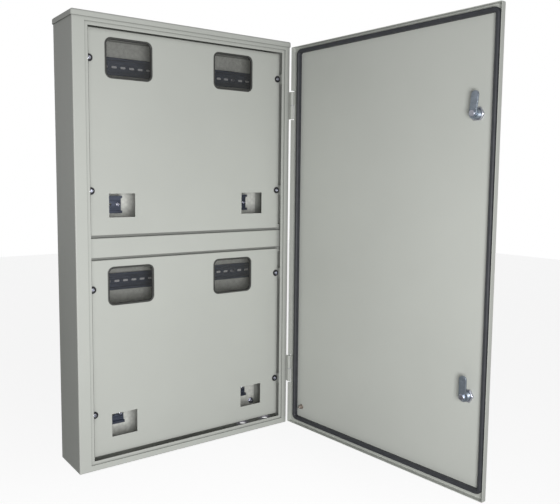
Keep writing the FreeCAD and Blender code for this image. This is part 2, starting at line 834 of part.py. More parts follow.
def door_parts():
    """Every sub-part that swings with the door, by name, with the door closed."""
    parts = {
        "door_pan": door_pan(),
        "door_gasket": door_gasket(),
        "earth_stud": earth_stud(),
        "earth_washer": earth_washer_disc(),
        "earth_nut": earth_nut(),
    }
    for name, z in zip(("lower", "upper"), hinge_heights):
        parts["hinge_door_half_" + name] = hinge_door_half(z)
    for name, z, lean in zip(("lower", "upper"), lock_heights, (0.0, upper_lock_lean_deg)):
        parts["lock_housing_" + name] = lock_housing(z)
        parts["lock_nut_" + name] = lock_nut(z)
        turning = {"lock_core_": lock_core(z), "lock_cam_": lock_cam(z), "cam_screw_": cam_screw(z)}
        for piece, shape in turning.items():
            shape.rotate(FreeCAD.Vector(lock_x, 0, z), Y_AXIS, -lean)
            parts[piece + name] = shape
    return parts


def main():
    """Write one STEP file for each sub-part, with the door swung open."""
    os.makedirs("parts", exist_ok=True)
    shapes = fixed_parts()
    for name, shape in door_parts().items():
        opened = shape.copy()
        opened.rotate(FreeCAD.Vector(hinge_x, hinge_y, 0), Z_AXIS, door_open_deg)
        shapes[name] = opened
    for name, shape in shapes.items():
        shape.exportStep("parts/" + name + ".step")


main()
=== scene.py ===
"""The looks of a wall-hung sheet-steel meter box: paint, rubber, zinc and clear panes.

Metres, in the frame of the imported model: +X to the right seen from the front, +Y into the wall, +Z up.
Pieces of the door are worked out with the door closed and then swung open about its hinge axis.
"""
import json
import math

import bpy
import numpy as np
from bpy.props import FloatProperty, FloatVectorProperty, IntProperty, PointerProperty
from bpy.types import Operator, Panel, PropertyGroup
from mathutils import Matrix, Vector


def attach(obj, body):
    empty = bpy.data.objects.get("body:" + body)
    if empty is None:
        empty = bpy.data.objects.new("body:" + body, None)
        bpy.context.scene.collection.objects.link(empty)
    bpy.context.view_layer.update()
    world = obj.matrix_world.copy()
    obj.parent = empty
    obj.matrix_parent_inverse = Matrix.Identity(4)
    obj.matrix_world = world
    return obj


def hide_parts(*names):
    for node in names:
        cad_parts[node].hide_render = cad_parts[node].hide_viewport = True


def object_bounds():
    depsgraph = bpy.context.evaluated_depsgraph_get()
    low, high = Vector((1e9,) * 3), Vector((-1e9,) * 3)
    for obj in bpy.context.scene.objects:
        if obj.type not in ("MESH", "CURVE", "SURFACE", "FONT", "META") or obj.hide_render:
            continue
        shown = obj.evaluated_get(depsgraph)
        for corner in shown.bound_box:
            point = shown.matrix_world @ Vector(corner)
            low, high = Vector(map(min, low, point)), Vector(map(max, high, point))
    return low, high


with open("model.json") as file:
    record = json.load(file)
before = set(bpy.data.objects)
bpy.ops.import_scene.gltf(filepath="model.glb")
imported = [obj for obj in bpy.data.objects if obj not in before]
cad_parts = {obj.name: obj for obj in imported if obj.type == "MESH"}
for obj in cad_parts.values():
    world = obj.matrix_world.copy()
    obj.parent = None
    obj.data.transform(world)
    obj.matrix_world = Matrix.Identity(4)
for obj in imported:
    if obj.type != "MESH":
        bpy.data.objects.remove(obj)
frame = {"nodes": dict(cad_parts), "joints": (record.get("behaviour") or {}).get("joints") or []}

bl_info = {
    "name": "Meter Box Dresser",
    "version": (1, 0, 0),
    "blender": (4, 5, 0),
    "location": "3D View > Sidebar > Meter Box",
    "description": "Finishes for a sheet-steel meter box with its door open",
    "category": "Object",
}

cad_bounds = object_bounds()
MM = 0.001

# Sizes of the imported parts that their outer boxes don't tell
SHEET = 1.2 * MM
WINDOW_CORNER = 13.0 * MM
SEAL_WIDTH = 8.0 * MM
SEAL_CORNER = 12.0 * MM
GROMMET_GROOVE = 3.0 * MM
GROMMET_BORE = 16.0 * MM
LOCK_BARREL = 18.0 * MM
LOCK_BORE = 12.0 * MM

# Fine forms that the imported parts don't have
NUT_CHAMFER = math.tan(math.radians(30))    # how far it climbs for each length inward
STUD_THREAD_DEPTH = 0.55    # in pitches
BARREL_THREAD_DEPTH = 0.5   # in pitches
POINTS_PER_PITCH = 8
WASHER_TEETH = 12
TOOTH_DEPTH = 1.2 * MM
STEPS_PER_TOOTH = 12
EDGE_POINTS = 5             # points along a rounded edge

# The stage
FLOOR_HALF = 8.0            # half the side of the square floor
FLOOR_GREY = (0.8, 0.8, 0.8)
WHITE = (1.0, 1.0, 1.0, 1.0)
SENSOR_WIDTH = 36.0         # millimetres, as camera makers give it

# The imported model's nodes
ROWS = ("upper", "lower")
WINDOWS = ("upper_left", "upper_right", "lower_left", "lower_right")
BODY_SHEETS = ("body_shell", "roof_cap", "divider_rail", "upper_panel", "lower_panel", "panel_brackets")
DOOR_SHEETS = ("door_pan", "hinge_fixed_half_upper", "hinge_fixed_half_lower",
               "hinge_door_half_upper", "hinge_door_half_lower")
BRIGHT_ZINC = ("panel_screws", "plate_spacers", "plate_washers", "meter_rail_screws",
               "breaker_rail_standoffs", "breaker_rail_screws", "hinge_washer_upper",
               "hinge_washer_lower", "hinge_pin_upper", "hinge_pin_lower")

joints = {joint["name"]: joint for joint in frame["joints"]}
hinge_line = np.array(joints["door_hinge"]["pos_m"])
door_opening = math.radians(-joints["door_hinge"]["range_deg"][0])
lock_leans = {row: math.radians(-joints[row + "_lock_turn"]["range_deg"][0]) for row in ROWS}


def swung(points, angle):
    """Points turned about the vertical hinge line: a plane rotation of (x, y), z kept."""
    x, y = points[:, 0] - hinge_line[0], points[:, 1] - hinge_line[1]
    return np.stack([hinge_line[0] + x * math.cos(angle) - y * math.sin(angle),
                     hinge_line[1] + x * math.sin(angle) + y * math.cos(angle),
                     points[:, 2]], axis=1)


def leaned(points, centre, angle):
    """Points turned about a lock's axis, a line along y: a plane rotation of (x, z), y kept."""
    x, z = points[:, 0] - centre[0], points[:, 2] - centre[1]
    return np.stack([centre[0] + x * math.cos(angle) + z * math.sin(angle), points[:, 1],
                     centre[1] - x * math.sin(angle) + z * math.cos(angle)], axis=1)


def node_points(node, closed):
    """The node's corners as an array. With closed, the door's nodes are swung shut first."""
    mesh = frame["nodes"][node].data
    points = np.empty(len(mesh.vertices) * 3)
    mesh.vertices.foreach_get("co", points)
    points = points.reshape(-1, 3)
    return swung(points, -door_opening) if closed else points


def reach(points):
    """Lowest and highest corner of an array of points."""
    return points.min(axis=0), points.max(axis=0)


def node_box(node, closed=False):
    """Lowest and highest corner of a node."""
    return reach(node_points(node, closed))


def middle(low, high):
    """Middle of a box seen along y, as (x, z)."""
    return (low[0] + high[0]) / 2, (low[2] + high[2]) / 2


def solid_boxes(node):
    """Lowest and highest corner of each separate solid of a node.

    Corners that share an edge take the smaller of their two labels until no label changes.
    """
    mesh = frame["nodes"][node].data
    points = node_points(node, False)
    _, spot = np.unique(np.round(points, 6), axis=0, return_inverse=True)
    ends = np.empty(len(mesh.edges) * 2, dtype=np.int64)
    mesh.edges.foreach_get("vertices", ends)
    edges = spot.ravel()[ends].reshape(-1, 2)
    labels = np.arange(spot.max() + 1)
    while True:
        lowest = labels[edges].min(axis=1)
        updated = labels.copy()
        np.minimum.at(updated, edges[:, 0], lowest)
        np.minimum.at(updated, edges[:, 1], lowest)
        updated = updated[updated]
        if np.array_equal(updated, labels):
            break
        labels = updated
    owner = labels[spot.ravel()]
    return [reach(points[owner == label]) for label in np.unique(owner)]


def grid_faces(rows, columns, ring_columns):
    """Four-cornered faces of a grid of points, closed round its rows and, if asked, its columns."""
    row, column = np.meshgrid(np.arange(rows), np.arange(columns if ring_columns else columns - 1),
                              indexing="ij")
    next_row, next_column = (row + 1) % rows, (column + 1) % columns
    return np.stack([row * columns + column, next_row * columns + column,
                     next_row * columns + next_column, row * columns + next_column],
                    axis=-1).reshape(-1, 4)


def surface(points, ring_columns):
    """Corners and faces of a closed surface from a grid of points, rows x columns x 3.

    Rows run round the shape. If the columns are no ring, flat caps close the first and last column.
    Six times the enclosed volume is the sum of the faces' triple products; if it is negative,
    the faces are turned over, so that they point outwards.
    """
    rows, columns = points.shape[:2]
    flat = points.reshape(-1, 3)
    faces = grid_faces(rows, columns, ring_columns)
    a, b, c, d = (flat[faces[:, k]] for k in range(4))
    volume = np.einsum("ij,ij->", a, np.cross(b, c)) + np.einsum("ij,ij->", a, np.cross(c, d))
    polygons = faces.tolist()
    if not ring_columns:
        first = np.arange(rows) * columns
        last = first + columns - 1
        for loop, order in ((first, -1), (last, 1)):
            corners = flat[loop][::order]
            following = np.roll(corners, -1, axis=0)
            volume += np.cross(corners, following).sum(axis=0) @ corners.mean(axis=0)
        polygons += [first[::-1].tolist(), last.tolist()]
    if volume < 0:
        polygons = [polygon[::-1] for polygon in polygons]
    return flat, polygons


def merged(surfaces):
    """Several surfaces as one list of corners and faces."""
    corners, polygons, offset = [], [], 0
    for flat, faces in surfaces:
        corners.append(flat)
        polygons += [[index + offset for index in face] for face in faces]
        offset += len(flat)
    return np.concatenate(corners), polygons


def turned(centre, radius, along, angles, axis="y", ring=True):
    """A surface of revolution: radius and height are given on a grid of angle by profile point.

    A point lies at centre + radius * (cos, sin) across the axis and at its height along it.
    """
    radius = np.broadcast_to(radius, (len(angles), len(along)))
    height = np.broadcast_to(along, radius.shape)
    across = radius * np.cos(angles)[:, None]
    upward = radius * np.sin(angles)[:, None]
    if axis == "y":
        grid = np.stack([centre[0] + across, height, centre[1] + upward], axis=-1)
    else:
        grid = np.stack([centre[0] + across, centre[1] + upward, height], axis=-1)
    return surface(grid, ring)


def round_angles(count):
    """Equally spaced angles once round."""
    return np.linspace(0.0, 2 * math.pi, count, endpoint=False)


def framed(low, high, corner, inward, depth, steps=12):
    """A profile carried round a rectangle with round corners, in the plane of x and z.

    Each profile point lies a distance inward from the outer edge and at a depth y. Every corner is
    an arc about its own centre, with the outer radius less the inward distance.
    """
    quarter = np.linspace(0.0, math.pi / 2, steps)
    turn = (quarter[None, :] + np.arange(4)[:, None] * math.pi / 2).ravel()
    side_x = np.repeat([1, -1, -1, 1], steps)
    side_z = np.repeat([1, 1, -1, -1], steps)
    centre = (low + high) / 2
    half = (high - low) / 2 - corner
    bend = corner - inward
    x = centre[0] + (side_x * half[0])[:, None] + np.cos(turn)[:, None] * bend[None, :]
    z = centre[2] + (side_z * half[2])[:, None] + np.sin(turn)[:, None] * bend[None, :]
    y = np.broadcast_to(depth, x.shape)
    return surface(np.stack([x, y, z], axis=-1), True)


def add_piece(name, shape, material, body, replaced, sharp_deg=35.0, closed=False):
    """Make an object from corners and faces, swing it open if it was made shut, and let it ride."""
    corners, polygons = shape
    if closed:
        corners = swung(corners, door_opening)
    mesh = bpy.data.meshes.new(name)
    mesh.from_pydata(corners.tolist(), [], polygons)
    mesh.polygons.foreach_set("use_smooth", [True] * len(mesh.polygons))
    mesh.set_sharp_from_angle(angle=math.radians(sharp_deg))
    mesh.materials.append(material)
    piece = bpy.data.objects.new(name, mesh)
    bpy.context.scene.collection.objects.link(piece)
    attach(piece, body)
    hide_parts(*replaced)
    return piece


def paint_node(node, material):
    """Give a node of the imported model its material."""
    mesh = frame["nodes"][node].data
    mesh.materials.clear()
    mesh.materials.append(material)


class Finish:
    """A material in the making, with short calls for the nodes that every finish uses."""

    def __init__(self, name, color, roughness, metallic=0.0):
        self.material = bpy.data.materials.new(name)
        self.material.use_nodes = True
        self.tree = self.material.node_tree
        self.tree.nodes.clear()
        self.shader = self.add("ShaderNodeBsdfPrincipled")
        output = self.add("ShaderNodeOutputMaterial")
        self.tree.links.new(self.shader.outputs[0], output.inputs["Surface"])
        self.place = self.add("ShaderNodeTexCoord").outputs["Object"]
        self.set(self.shader, "Base Color", (*color, 1.0))
        self.set(self.shader, "Roughness", roughness)
        self.set(self.shader, "Metallic", metallic)

    def add(self, kind):
        """A new node."""
        return self.tree.nodes.new(kind)

    def set(self, node, socket, value):
        """Link an output to a socket, or write a constant into it."""
        if isinstance(value, bpy.types.NodeSocket):
            self.tree.links.new(value, node.inputs[socket])
        else:
            node.inputs[socket].default_value = value

    def stretched(self, scale):
        """Object coordinates scaled along each axis."""
        mapping = self.add("ShaderNodeMapping")
        self.set(mapping, "Vector", self.place)
        self.set(mapping, "Scale", scale)
        return mapping.outputs[0]

    def noise(self, scale, detail=2.0, stretch=(1.0, 1.0, 1.0)):
        """Cloudy noise from 0 to 1, with scale in features for each metre."""
        node = self.add("ShaderNodeTexNoise")
        self.set(node, "Vector", self.stretched(stretch))
        self.set(node, "Scale", scale)
        self.set(node, "Detail", detail)
        return node.outputs["Fac"]

    def cells(self, scale, stretch=(1.0, 1.0, 1.0)):
        """The distance to the nearest of scattered points."""
        node = self.add("ShaderNodeTexVoronoi")
        self.set(node, "Vector", self.stretched(stretch))
        self.set(node, "Scale", scale)
        return node.outputs["Distance"]

    def ranged(self, value, low, high, start=0.3, end=0.7):
        """A value spread from one range to another."""
        node = self.add("ShaderNodeMapRange")
        self.set(node, "Value", value)
        self.set(node, "From Min", start)
        self.set(node, "From Max", end)
        self.set(node, "To Min", low)
        self.set(node, "To Max", high)
        return node.outputs[0]

    def mixed(self, factor, first, second):
        """A colour between two others."""
        node = self.add("ShaderNodeMix")
        node.data_type = "RGBA"
        self.set(node, 0, factor)
        for socket, value in ((6, first), (7, second)):
            self.set(node, socket, value if isinstance(value, bpy.types.NodeSocket) else (*value, 1.0))
        return node.outputs[2]

    def math(self, operation, first, second):
        """One arithmetic step."""
        node = self.add("ShaderNodeMath")
        node.operation = operation
        self.set(node, 0, first)
        self.set(node, 1, second)
        return node.outputs[0]

    def bump(self, height, strength, distance):
        """Relief on the surface, with distance in metres."""
        node = self.add("ShaderNodeBump")
        self.set(node, "Strength", strength)
        self.set(node, "Distance", distance)
        self.set(node, "Height", height)
        self.set(self.shader, "Normal", node.outputs[0])

    def creases(self, distance):
        """How open each point is, from 0 in a tight corner to 1 on an open face."""
        node = self.add("ShaderNodeAmbientOcclusion")
        node.samples = 8
        self.set(node, "Distance", distance)
        return node.outputs["AO"]

    def color(self, value):
        """Use this colour."""
        self.set(self.shader, "Base Color", value)

    def roughness(self, value):
        """Use this roughness."""
        self.set(self.shader, "Roughness", value)


def scaled(color, factor):
    """A colour made lighter or darker."""
    return tuple(min(1.0, channel * factor) for channel in color)


def powder_coat(name, color, crease_shade_depth, crease_shade_width):
    """Satin powder coat: faint clouds of tone, fine speckle, painted shade in the creases, orange peel."""
    finish = Finish(name, color, roughness=0.42)
    finish.set(finish.shader, "Specular IOR Level", 0.4)
    clouds = finish.ranged(finish.noise(scale=5.0, detail=3.0), 0.0, 1.0)
    tone = finish.mixed(clouds, scaled(color, 0.975), scaled(color, 1.02))
    speckle = finish.ranged(finish.noise(scale=2600.0, detail=1.0), 0.0, 1.0, start=0.62, end=0.78)
    speckle_share = 0.22
    tone = finish.mixed(finish.math("MULTIPLY", speckle, speckle_share), tone, scaled(color, 0.8))
    # Painted shade: where ambient occlusion finds creases and corners, the colour darkens towards a third
    # of itself.
    painted_shade = finish.ranged(finish.creases(crease_shade_width), crease_shade_depth, 0.0, start=0.45, end=0.97)
    finish.color(finish.mixed(painted_shade, tone, scaled(color, 0.3)))
    finish.roughness(finish.ranged(finish.noise(scale=160.0), 0.38, 0.47))
    finish.bump(finish.noise(scale=750.0), strength=0.28, distance=0.00005)
    return finish.material


def zinc(name, color, roughness, grain):
    """Zinc-plated steel: fine scratches one way, small clouds of tarnish."""
    finish = Finish(name, color, roughness, metallic=1.0)
    clouds = finish.ranged(finish.noise(scale=90.0, detail=4.0), 0.0, 1.0)
    finish.color(finish.mixed(clouds, scaled(color, 0.82), scaled(color, 1.12)))
    scratches = finish.noise(scale=900.0, detail=3.0, stretch=grain)
    finish.roughness(finish.ranged(scratches, roughness * 0.8, roughness * 1.3))
    finish.bump(scratches, strength=0.25, distance=0.00003)
    return finish.material


def plate_zinc(name, color, bright, strips, half_strip):
    """Galvanised plate: frosty grains, and brighter strips where the rails lie on it, which show as light
    dashes through the rails' slots.
    """
    finish = Finish(name, color, roughness=0.5)
    frost = finish.cells(scale=130.0)
    grains = finish.ranged(frost, 0.0, 1.0, start=0.1, end=0.8)
    tone = finish.mixed(grains, scaled(color, 1.08), scaled(color, 0.88))
    split = finish.add("ShaderNodeSeparateXYZ")
    finish.set(split, 0, finish.place)
    # A brighter colour along the height of each rail, seen through the rails' slots as light dashes.
    for height in strips:
        away = finish.math("ABSOLUTE", finish.math("SUBTRACT", split.outputs["Z"], height), 0.0)
        inside = finish.math("LESS_THAN", away, half_strip)
        tone = finish.mixed(inside, tone, bright)
    finish.color(tone)
    finish.roughness(finish.ranged(finish.noise(scale=220.0, detail=3.0), 0.42, 0.6))
    finish.bump(frost, strength=0.1, distance=0.00005)
    return finish.material


def dark_steel(name, color, metallic):
    """Blue-black passivated rail: drawn along its length, with a dull sheen."""
    finish = Finish(name, color, roughness=0.45, metallic=metallic)
    drawn = finish.noise(scale=40.0, detail=4.0, stretch=(1.0, 22.0, 22.0))
    finish.color(finish.mixed(finish.ranged(drawn, 0.0, 1.0), scaled(color, 0.75), scaled(color, 1.35)))
    finish.roughness(finish.ranged(drawn, 0.38, 0.55))
    finish.bump(drawn, strength=0.2, distance=0.00004)
    return finish.material


def rubber(name, color, roughness, pore_scale, pore_depth):
    """Moulded rubber, plastic or foam: fine pores and a soft sheen."""
    finish = Finish(name, color, roughness)
    pores = finish.cells(pore_scale)
    clouds = finish.ranged(finish.noise(scale=60.0, detail=3.0), 0.0, 1.0)
    finish.color(finish.mixed(clouds, scaled(color, 0.85), scaled(color, 1.2)))
    finish.roughness(finish.ranged(pores, roughness * 0.9, roughness * 1.15, start=0.0, end=0.8))
    finish.bump(pores, strength=0.35, distance=pore_depth)
    return finish.material


def cast_metal(name, color):
    """Zinc die casting: satin, with clouds of tone, spots of more or less polish and a fine cast grain."""
    finish = Finish(name, color, roughness=0.34, metallic=0.75)
    clouds = finish.ranged(finish.noise(scale=140.0, detail=4.0), 0.0, 1.0)
    finish.color(finish.mixed(clouds, scaled(color, 0.85), scaled(color, 1.15)))
    finish.roughness(finish.ranged(finish.noise(scale=420.0, detail=3.0), 0.26, 0.44))
    finish.bump(finish.noise(scale=1500.0), strength=0.2, distance=0.00003)
    return finish.material


def copper_plate(name, color):
    """Copper-plated steel, a little tarnished."""
    finish = Finish(name, color, roughness=0.4, metallic=0.8)
    tarnish = finish.ranged(finish.noise(scale=350.0, detail=3.0), 0.0, 1.0)
    finish.color(finish.mixed(tarnish, scaled(color, 0.7), scaled(color, 1.1)))
    finish.bump(finish.noise(scale=1200.0), strength=0.2, distance=0.00003)
    return finish.material


def clear_pane(name, color, alpha):
    """Thin clear sheet with a faint smoky body, a slightly uneven gloss and shallow waves."""
    finish = Finish(name, color, roughness=0.06)
    finish.roughness(finish.ranged(finish.noise(scale=30.0, detail=3.0), 0.05, 0.1))
    finish.set(finish.shader, "Alpha", alpha)
    finish.set(finish.shader, "Specular IOR Level", 0.7)
    finish.bump(finish.noise(scale=12.0, detail=1.0), strength=0.04, distance=0.0004)
    return finish.material


class MeterBoxSettings(PropertyGroup):
    """The sizes and colours that a user would change."""

    paint: FloatVectorProperty(
        name="Paint", description="Colour of the powder coat", subtype="COLOR", size=3,
        min=0.0, max=1.0, default=(0.545, 0.562, 0.525))
    # Painted shade in the paint's creases and corners, from ambient occlusion: how dark it is on the body
    # and on the door, and how far it reaches.
    crease_shade_depth: FloatProperty(
        name="Crease depth", description="How dark the dust in the paint's creases is",
        subtype="FACTOR", min=0.0, max=1.0, default=0.8)
    door_crease_shade_depth: FloatProperty(
        name="Door crease depth", description="How dark the dust in the door's creases is",
        subtype="FACTOR", min=0.0, max=1.0, default=0.1)
    crease_shade_width: FloatProperty(
        name="Crease width", description="How far the dust reaches out of a crease",
        unit="LENGTH", min=0.001, max=0.05, default=0.014)
    screw_zinc: FloatVectorProperty(
        name="Screw zinc", description="Colour of screws, washers and pins", subtype="COLOR", size=3,
        min=0.0, max=1.0, default=(0.52, 0.53, 0.60))
    lock_metal: FloatVectorProperty(
        name="Lock metal", description="Colour of the locks' castings", subtype="COLOR", size=3,
        min=0.0, max=1.0, default=(0.27, 0.31, 0.36))
    plate: FloatVectorProperty(
        name="Mounting plate", description="Colour of the galvanised plate", subtype="COLOR", size=3,
        min=0.0, max=1.0, default=(0.80, 0.81, 0.76))
    # Colour of the brighter strips of plate behind the rails, seen through the rails' slots as light
    # dashes.
    strip_behind_rails: FloatVectorProperty(
        name="Bare strip", description="Colour of the plate under the rails", subtype="COLOR", size=3,
        min=0.0, max=1.0, default=(0.85, 0.85, 0.88))
    rail: FloatVectorProperty(
        name="Rail", description="Colour of the passivated rails", subtype="COLOR", size=3,
        min=0.0, max=1.0, default=(0.14, 0.16, 0.22))
    short_rail: FloatVectorProperty(
        name="Short rail", description="Colour of the rails behind the breaker cut-outs",
        subtype="COLOR", size=3, min=0.0, max=1.0, default=(0.11, 0.125, 0.17))
    window_rubber: FloatVectorProperty(
        name="Window rubber", description="Colour of the windows' rubber frames", subtype="COLOR",
        size=3, min=0.0, max=1.0, default=(0.050, 0.051, 0.048))
    door_foam: FloatVectorProperty(
        name="Door seal", description="Colour of the door's foam seal", subtype="COLOR", size=3,
        min=0.0, max=1.0, default=(0.034, 0.036, 0.042))
    washer_plastic: FloatVectorProperty(
        name="Washer plastic", description="Colour of the washers under the panel screws",
        subtype="COLOR", size=3, min=0.0, max=1.0, default=(0.012, 0.012, 0.016))
    grommet: FloatVectorProperty(
        name="Grommet", description="Colour of the cable grommets", subtype="COLOR", size=3,
        min=0.0, max=1.0, default=(0.55, 0.54, 0.60))
    copper: FloatVectorProperty(
        name="Copper", description="Colour of the door's earthing stud", subtype="COLOR", size=3,
        min=0.0, max=1.0, default=(0.40, 0.34, 0.30))
    pane: FloatVectorProperty(
        name="Pane", description="Body colour of the window panes", subtype="COLOR", size=3,
        min=0.0, max=1.0, default=(0.05, 0.05, 0.045))
    pane_alpha: FloatProperty(
        name="Pane density", description="How much of the light each face of a pane stops",
        subtype="FACTOR", min=0.0, max=1.0, default=0.25)
    bead_height: FloatProperty(
        name="Seal bead", description="How far the window rubber stands in front of the panel",
        unit="LENGTH", min=0.0002, max=0.003, default=0.0008)
    stud_pitch: FloatProperty(
        name="Stud pitch", description="Thread pitch of the small studs", unit="LENGTH",
        min=0.0004, max=0.002, default=0.001)
    barrel_pitch: FloatProperty(
        name="Barrel pitch", description="Thread pitch of the lock barrels", unit="LENGTH",
        min=0.0005, max=0.003, default=0.0015)
    tongue_edge: FloatProperty(
        name="Tongue edge", description="Rounding of the lock tongues' edges", unit="LENGTH",
        min=0.0001, max=0.0014, default=0.0006)
    round_steps: IntProperty(
        name="Round steps", description="Faces once round a turned piece", min=24, max=144, default=72)


class StudioSettings(PropertyGroup):
    """Floor, lamps and camera."""

    camera_place: FloatVectorProperty(
        name="Camera", description="Where the camera stands", subtype="TRANSLATION", unit="LENGTH",
        size=3, default=(-0.6830, -1.2750, 0.1290))
    camera_turn: FloatVectorProperty(
        name="Camera turn", description="How the camera is turned", subtype="EULER", unit="ROTATION",
        size=3, default=(math.pi / 2 - 0.09373, -0.00559, -0.60922))
    focal_px: FloatProperty(
        name="Focal length", description="Focal length in widths of the picture",
        min=0.3, max=5.0, default=1.17423)
    shift: FloatVectorProperty(
        name="Shift", description="Shift of the picture's centre", size=2, default=(0.05896, -0.01744))
    floor_drop: FloatProperty(
        name="Floor drop", description="How far the floor lies below the box", unit="LENGTH",
        min=0.0, max=3.0, default=0.5)
    key_power: FloatProperty(
        name="Key lamp", description="Power of the large lamp at the front", unit="POWER",
        min=0.0, max=500.0, default=16.4)
    key_place: FloatVectorProperty(
        name="Key place", description="Where the large lamp stands", subtype="TRANSLATION",
        unit="LENGTH", size=3, default=(-0.57, -1.40, -0.02))
    key_size: FloatProperty(
        name="Key size", description="Side of the large square lamp", unit="LENGTH", min=0.1, max=4.0,
        default=0.5)
    ambient: FloatProperty(
        name="Ambient", description="Strength of the light from all round", min=0.0, max=1.0,
        default=0.11)
    mirror_light: FloatProperty(
        name="Mirror light", description="Strength of the surroundings as glossy faces show them",
        min=0.0, max=1.0, default=0.55)
    floor_glow: FloatProperty(
        name="Floor glow", description="Light added to the floor where the camera sees it",
        min=0.0, max=1.0, default=0.80)


def thread(along, angles, pitch, depth, start, end):
    """How far a thread cuts in, on a grid of angle by place along the axis.

    A triangle wave of the place in pitches less the share of a turn, faded out over one pitch at
    each end.
    """
    phase = along[None, :] / pitch - angles[:, None] / (2 * math.pi)
    wave = 1.0 - 2.0 * np.abs(phase - np.floor(phase) - 0.5)
    fade = np.clip(np.minimum(along - start, end - along) / pitch, 0.0, 1.0)
    return depth * wave * fade[None, :]


def threaded_rod(centre, start, end, diameter, pitch, steps):
    """A stud: half its diameter less the cut of a helical thread, closed by flat caps.

    The first and last ring are drawn in by the height of a small chamfer.
    """
    angles = round_angles(steps)
    chamfer = pitch * 0.6
    count = int(abs(end - start) / pitch * POINTS_PER_PITCH) + 2
    along = np.concatenate([[start], np.linspace(start + chamfer, end - chamfer, count), [end]])
    radius = diameter / 2 - thread(along, angles, pitch, pitch * STUD_THREAD_DEPTH,
                                   start + chamfer, end - chamfer)
    radius[:, 0] -= chamfer
    radius[:, -1] -= chamfer
    return turned(centre, radius, along, angles, ring=False)


def hex_radius(angles, flats):
    """Distance from the axis to a hexagon's side, with corners at 0 and every 60 degrees."""
    return flats / 2 / np.cos(angles % (math.pi / 3) - math.pi / 6)


def hex_nut(centre, start, end, flats, bore, steps):
    """A hexagon nut: each outer point lies on the hexagon or on a 30 degree cone, whichever is nearer."""
    angles = round_angles(steps)
    face = flats / 2 * 0.96
    rise = (flats / math.sqrt(3) - face) * NUT_CHAMFER
    climb = np.linspace(0.0, 1.0, EDGE_POINTS) * rise
    cone = face + climb / NUT_CHAMFER
    side = hex_radius(angles, flats)[:, None]
    lower = np.minimum(side, cone[None, :])
    well = (flats / 2 - bore / 2) * 0.12
    inner = np.full((steps, 1), bore / 2)
    mouth = inner + well
    radius = np.concatenate([inner, mouth, lower, lower[:, ::-1], mouth, inner], axis=1)
    along = np.concatenate([[start + well, start], start + climb, (end - climb)[::-1], [end, end - well]])
    return turned(centre, radius, along, angles)


def hex_head(centre, seat, tip, flats, steps):
    """A hexagon screw head, flat at its seat.

    At its free end each point lies on the hexagon or on a 30 degree cone, whichever is nearer, and a
    flat face closes the cone.
    """
    angles = round_angles(steps)
    face = flats / 2 * 0.94
    face_edge = face * 0.86
    waist = seat + (tip - seat) * 0.3
    rise = (flats / math.sqrt(3) - face) * NUT_CHAMFER
    climb = np.linspace(1.0, 0.0, EDGE_POINTS + 1) * rise
    cone = face + climb / NUT_CHAMFER
    side = hex_radius(angles, flats)[:, None]
    radius = np.concatenate([side, side, np.minimum(side, cone[None, :]), np.full_like(side, face_edge)],
                            axis=1)
    along = np.concatenate([[seat, waist], tip - climb, [tip]])
    return turned(centre, radius, along, angles, ring=False)


def tooth_washer(centre, start, end, outer, bore):
    """A flat ring with softened edges.

    Its teeth are a square wave: the rim draws in wherever the cosine of the angle, taken once for
    each tooth, is above a threshold.
    """
    angles = round_angles(WASHER_TEETH * STEPS_PER_TOOTH)
    soft = (end - start) * 0.25
    threshold = 0.35
    rim = outer / 2 - TOOTH_DEPTH * (np.cos(angles * WASHER_TEETH) > threshold)[:, None]
    hole = np.full_like(rim, bore / 2)
    radius = np.concatenate([hole, rim - soft, rim, rim, rim - soft, hole], axis=1)
    along = np.array([start, start, start + soft, end - soft, end, end])
    return turned(centre, radius, along, angles)


def stadium(centre, length, width, start, end, edge, steps=20):
    """A flat tongue with round ends and rounded edges.

    Each level is a stadium outline drawn in by an inset; depth and inset run along quarter circles
    at both faces.
    """
    quarter = np.linspace(0.0, math.pi / 2, EDGE_POINTS)
    inset = np.concatenate([edge * (1 - np.sin(quarter)), edge * (1 - np.cos(quarter))])
    depth = np.concatenate([start + edge * (1 - np.cos(quarter)), end - edge * (1 - np.sin(quarter))])
    half_turn = np.linspace(0.0, math.pi, steps)
    turn = np.concatenate([half_turn, half_turn + math.pi])
    lift = np.repeat([length - width, 0.0], steps)
    bend = (width / 2 - inset)[None, :]
    x = centre[0] + np.cos(turn)[:, None] * bend
    z = centre[1] + lift[:, None] + np.sin(turn)[:, None] * bend
    y = np.broadcast_to(depth[None, :], x.shape)
    return surface(np.stack([x, y, z], axis=-1), False)


def window_rubber_section(lip, web, panel, pane_gap, pane, back_cover, bead):
    """Section of the window frame as (inward, depth behind the panel's face).

    A half ellipse forms the bead in front; the rest is the slot round the panel's edge, the web and
    the slot round the pane's edge.
    """
    bead_points = 13
    arc = np.linspace(0.0, math.pi, bead_points)
    width = 2 * lip
    inward = list(lip - lip * np.cos(arc))
    depth = list(-bead * np.sin(arc))
    pane_edge = lip + web
    back = panel + pane_gap + pane + back_cover
    soft = back_cover * 0.6
    tail = [(width, panel + pane_gap), (pane_edge, panel + pane_gap), (pane_edge, panel + pane_gap + pane),
            (width, panel + pane_gap + pane), (width, back - soft), (width - soft, back), (soft, back),
            (0.0, back - soft), (0.0, panel), (lip, panel), (lip, 0.0)]
    inward += [point[0] for point in tail]
    depth += [point[1] for point in tail]
    return np.array(inward), np.array(depth)


def door_seal_section(width, height):
    """Section of the door's foam seal as (inward, height): upright sides under a domed top.

    The dome is half an ellipse, less a wave of three shallow valleys: the squared sine of three
    times the arc's angle, faded out at both sides by the sine of the angle itself.
    """
    dome_points = 25
    arc = np.linspace(0.0, math.pi, dome_points)
    dome = height * 0.34
    valley = height * 0.045
    inward = width / 2 - width / 2 * np.cos(arc)
    top = height - dome + dome * np.sin(arc) - valley * np.sin(3 * arc) ** 2 * np.sin(arc)
    return np.concatenate([[0.0], inward, [width]]), np.concatenate([[0.0], top, [0.0]])


